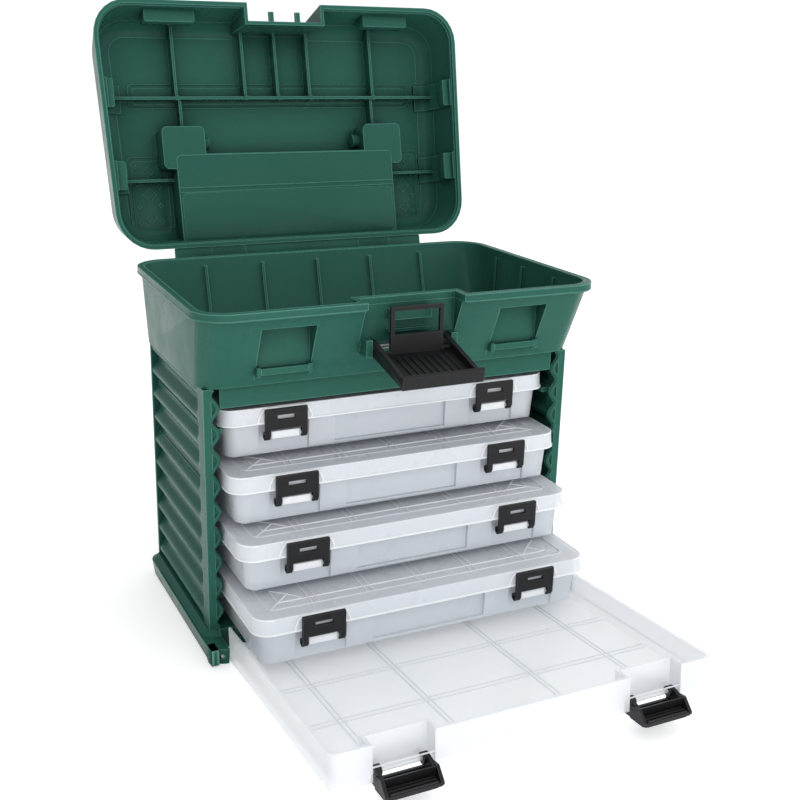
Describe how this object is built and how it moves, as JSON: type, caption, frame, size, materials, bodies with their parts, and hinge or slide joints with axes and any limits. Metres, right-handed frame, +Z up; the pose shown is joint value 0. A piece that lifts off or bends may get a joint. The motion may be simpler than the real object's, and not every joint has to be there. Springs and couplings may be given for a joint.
{
  "type": "fishing tackle box",
  "caption": "Upright tackle box with a lift-up lid, an open top tray, a fold-down clear front door and a rack of sliding clear organiser cases with snap latches.",
  "frame": {"origin": "middle of the foot's underside, on the floor", "axes": "+X to the right seen from the front, -Y to the front where the door folds down, +Z up"},
  "size_m": [0.2816, 0.4396, 0.3984],
  "materials": {
    "green_plastic": "dark green moulded polypropylene, fine satin grain",
    "black_plastic": "black moulded plastic, satin",
    "clear_plastic": "milky clear polypropylene",
    "door_plastic": "clear moulded plastic",
    "steel_rod": "drawn steel rod"
  },
  "bodies": {
    "cabinet": {"base_foot": "green_plastic", "side_wall_left": "green_plastic", "side_wall_right": "green_plastic", "back_wall": "green_plastic", "top_tray": "green_plastic", "latch_pivot_pin": "steel_rod", "lid_hinge_rod": "steel_rod"},
    "lid_body": {"lid": "green_plastic"},
    "handle_body": {"handle": "green_plastic"},
    "lever_body": {"latch_lever": "black_plastic"},
    "link_body": {"latch_link": "black_plastic"},
    "door_body": {"front_door": "door_plastic"},
    "door_latch_left_body": {"door_latch_left": "black_plastic"},
    "door_latch_right_body": {"door_latch_right": "black_plastic"},
    "case_1_body": {"case_1_base": "clear_plastic", "case_1_lid": "clear_plastic", "case_1_divider_1": "clear_plastic", "case_1_divider_2": "clear_plastic", "case_1_divider_3": "clear_plastic", "case_1_divider_4": "clear_plastic", "case_1_divider_5": "clear_plastic"},
    "case_1_latch_left_body": {"case_1_latch_left": "black_plastic"},
    "case_1_latch_right_body": {"case_1_latch_right": "black_plastic"},
    "case_2_body": {"case_2_base": "clear_plastic", "case_2_lid": "clear_plastic", "case_2_divider_1": "clear_plastic", "case_2_divider_2": "clear_plastic", "case_2_divider_3": "clear_plastic", "case_2_divider_4": "clear_plastic", "case_2_divider_5": "clear_plastic"},
    "case_2_latch_left_body": {"case_2_latch_left": "black_plastic"},
    "case_2_latch_right_body": {"case_2_latch_right": "black_plastic"},
    "case_3_body": {"case_3_base": "clear_plastic", "case_3_lid": "clear_plastic", "case_3_divider_1": "clear_plastic", "case_3_divider_2": "clear_plastic", "case_3_divider_3": "clear_plastic", "case_3_divider_4": "clear_plastic", "case_3_divider_5": "clear_plastic"},
    "case_3_latch_left_body": {"case_3_latch_left": "black_plastic"},
    "case_3_latch_right_body": {"case_3_latch_right": "black_plastic"},
    "case_4_body": {"case_4_base": "clear_plastic", "case_4_lid": "clear_plastic", "case_4_divider_1": "clear_plastic", "case_4_divider_2": "clear_plastic", "case_4_divider_3": "clear_plastic", "case_4_divider_4": "clear_plastic", "case_4_divider_5": "clear_plastic"},
    "case_4_latch_left_body": {"case_4_latch_left": "black_plastic"},
    "case_4_latch_right_body": {"case_4_latch_right": "black_plastic"}
  },
  "joints": [
    {"name": "lid_hinge", "type": "hinge", "parent": "cabinet", "child": "lid_body", "pos_m": [0, 0.0935, 0.22], "axis": [-1, 0, 0], "range_deg": [-102.9, 0]},
    {"name": "handle_pivot", "type": "hinge", "parent": "lid_body", "child": "handle_body", "pos_m": [0, 0.14824, 0.29774], "axis": [1, 0, 0], "range_deg": [0, 95]},
    {"name": "lever_pivot", "type": "hinge", "parent": "cabinet", "child": "lever_body", "pos_m": [0, -0.0805, 0.196], "axis": [1, 0, 0], "range_deg": [-90, 0]},
    {"name": "link_pivot", "type": "hinge", "parent": "lever_body", "child": "link_body", "pos_m": [0, -0.0893, 0.19413], "axis": [1, 0, 0], "range_deg": [0, 90]},
    {"name": "door_hinge", "type": "hinge", "parent": "cabinet", "child": "door_body", "pos_m": [0, -0.081, 0.006], "axis": [1, 0, 0], "range_deg": [-85.5, 0]},
    {"name": "door_latch_left_pivot", "type": "hinge", "parent": "door_body", "child": "door_latch_left_body", "pos_m": [-0.0805, -0.24358, 0.01779], "axis": [1, 0, 0], "range_deg": [-20, 24]},
    {"name": "door_latch_right_pivot", "type": "hinge", "parent": "door_body", "child": "door_latch_right_body", "pos_m": [0.0805, -0.24358, 0.01779], "axis": [1, 0, 0], "range_deg": [-20, 24]},
    {"name": "case_1_slide", "type": "slide", "parent": "cabinet", "child": "case_1_body", "axis": [0, -1, 0], "range_m": [0, 0.085]},
    {"name": "case_1_latch_left_pivot", "type": "hinge", "parent": "case_1_body", "child": "case_1_latch_left_body", "pos_m": [-0.075, -0.0587, 0.139], "axis": [1, 0, 0], "range_deg": [0, 95]},
    {"name": "case_1_latch_right_pivot", "type": "hinge", "parent": "case_1_body", "child": "case_1_latch_right_body", "pos_m": [0.075, -0.0587, 0.139], "axis": [1, 0, 0], "range_deg": [0, 95]},
    {"name": "case_2_slide", "type": "slide", "parent": "cabinet", "child": "case_2_body", "axis": [0, -1, 0], "range_m": [-0.019, 0.066]},
    {"name": "case_2_latch_left_pivot", "type": "hinge", "parent": "case_2_body", "child": "case_2_latch_left_body", "pos_m": [-0.075, -0.0777, 0.1018], "axis": [1, 0, 0], "range_deg": [0, 95]},
    {"name": "case_2_latch_right_pivot", "type": "hinge", "parent": "case_2_body", "child": "case_2_latch_right_body", "pos_m": [0.075, -0.0777, 0.1018], "axis": [1, 0, 0], "range_deg": [0, 95]},
    {"name": "case_3_slide", "type": "slide", "parent": "cabinet", "child": "case_3_body", "axis": [0, -1, 0], "range_m": [-0.0375, 0]},
    {"name": "case_3_latch_left_pivot", "type": "hinge", "parent": "case_3_body", "child": "case_3_latch_left_body", "pos_m": [-0.075, -0.0962, 0.0646], "axis": [1, 0, 0], "range_deg": [0, 95]},
    {"name": "case_3_latch_right_pivot", "type": "hinge", "parent": "case_3_body", "child": "case_3_latch_right_body", "pos_m": [0.075, -0.0962, 0.0646], "axis": [1, 0, 0], "range_deg": [0, 95]},
    {"name": "case_4_slide", "type": "slide", "parent": "cabinet", "child": "case_4_body", "axis": [0, -1, 0], "range_m": [-0.0635, 0]},
    {"name": "case_4_latch_left_pivot", "type": "hinge", "parent": "case_4_body", "child": "case_4_latch_left_body", "pos_m": [-0.075, -0.1222, 0.0274], "axis": [1, 0, 0], "range_deg": [0, 95]},
    {"name": "case_4_latch_right_pivot", "type": "hinge", "parent": "case_4_body", "child": "case_4_latch_right_body", "pos_m": [0.075, -0.1222, 0.0274], "axis": [1, 0, 0], "range_deg": [0, 95]}
  ],
  "couplings": [
    {"joint": "link_pivot", "follows": "lever_pivot", "ratio": -1},
    {"joint": "case_3_slide", "follows": "door_hinge", "m_per_rad": 0.02512},
    {"joint": "case_4_slide", "follows": "door_hinge", "m_per_rad": 0.04255}
  ]
}
